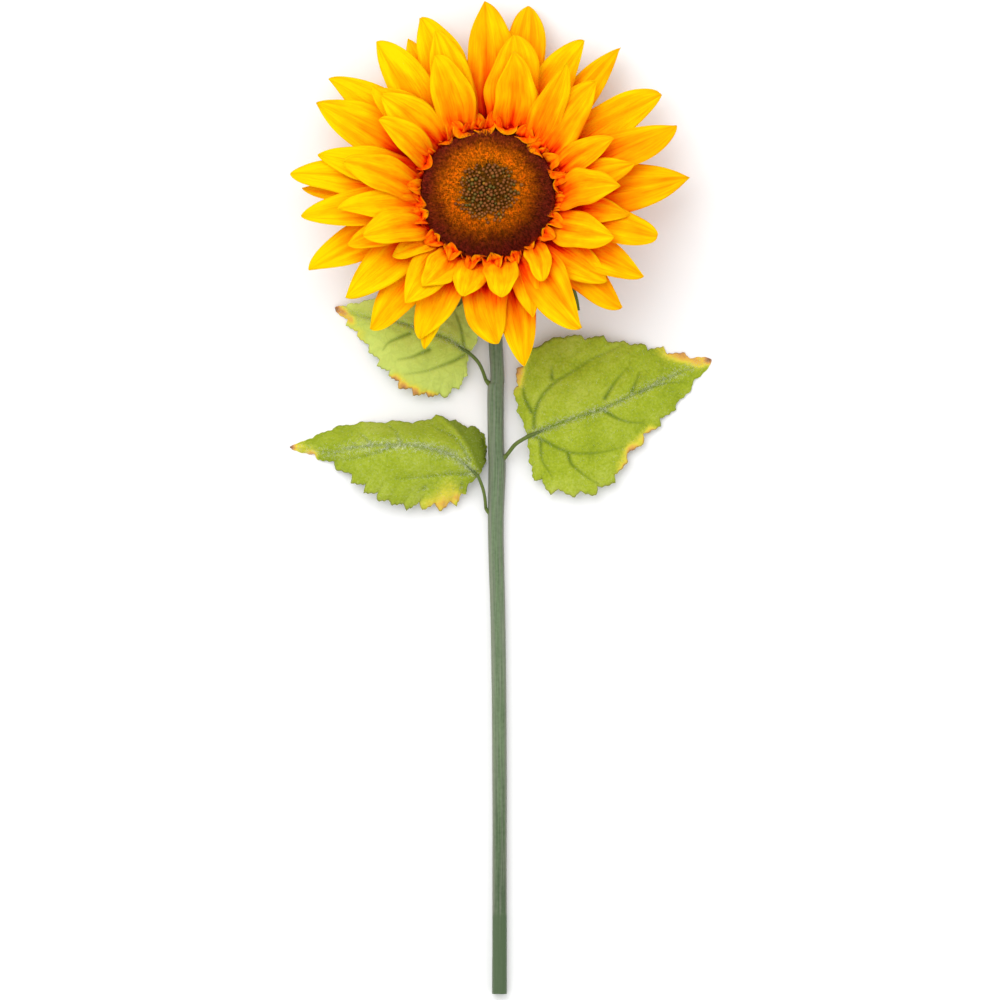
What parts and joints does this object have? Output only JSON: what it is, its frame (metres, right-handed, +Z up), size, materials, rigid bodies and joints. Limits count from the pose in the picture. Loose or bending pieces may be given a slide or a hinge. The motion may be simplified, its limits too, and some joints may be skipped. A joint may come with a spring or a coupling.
{
  "type": "cut sunflower",
  "caption": "Single cut sunflower lying face up: a layered bloom round a domed seed disc, a green calyx, a ribbed stem and heart-shaped toothed leaves.",
  "frame": {"origin": "on the table, under the middle of the flower's overall length and width", "axes": "+Y along the stem from its cut end to the bloom, +X to the right of the flower as seen from above, +Z up from the table towards the face of the bloom"},
  "size_m": [0.2978, 0.6963, 0.1014],
  "materials": {
    "stem_green": "matt grey-green plastic over a wire, with fine lengthwise ribs",
    "bract_green": "matt dark olive",
    "petal_yellow": "pressed cloth, bright yellow tips running to orange-red at the root, fine lengthwise veins",
    "seed_brown": "flocked dark brown rim, orange-brown ring and green-brown beads in the middle",
    "leaf_green": "pressed cloth, yellow-green with darker veins, a pale down and orange-brown tips"
  },
  "bodies": {
    "root": {"stem": "stem_green", "calyx": "bract_green", "petals": "petal_yellow", "seed_disc": "seed_brown", "leaf_right": "leaf_green", "leaf_left": "leaf_green", "leaf_upper": "leaf_green"}
  },
  "joints": []
}
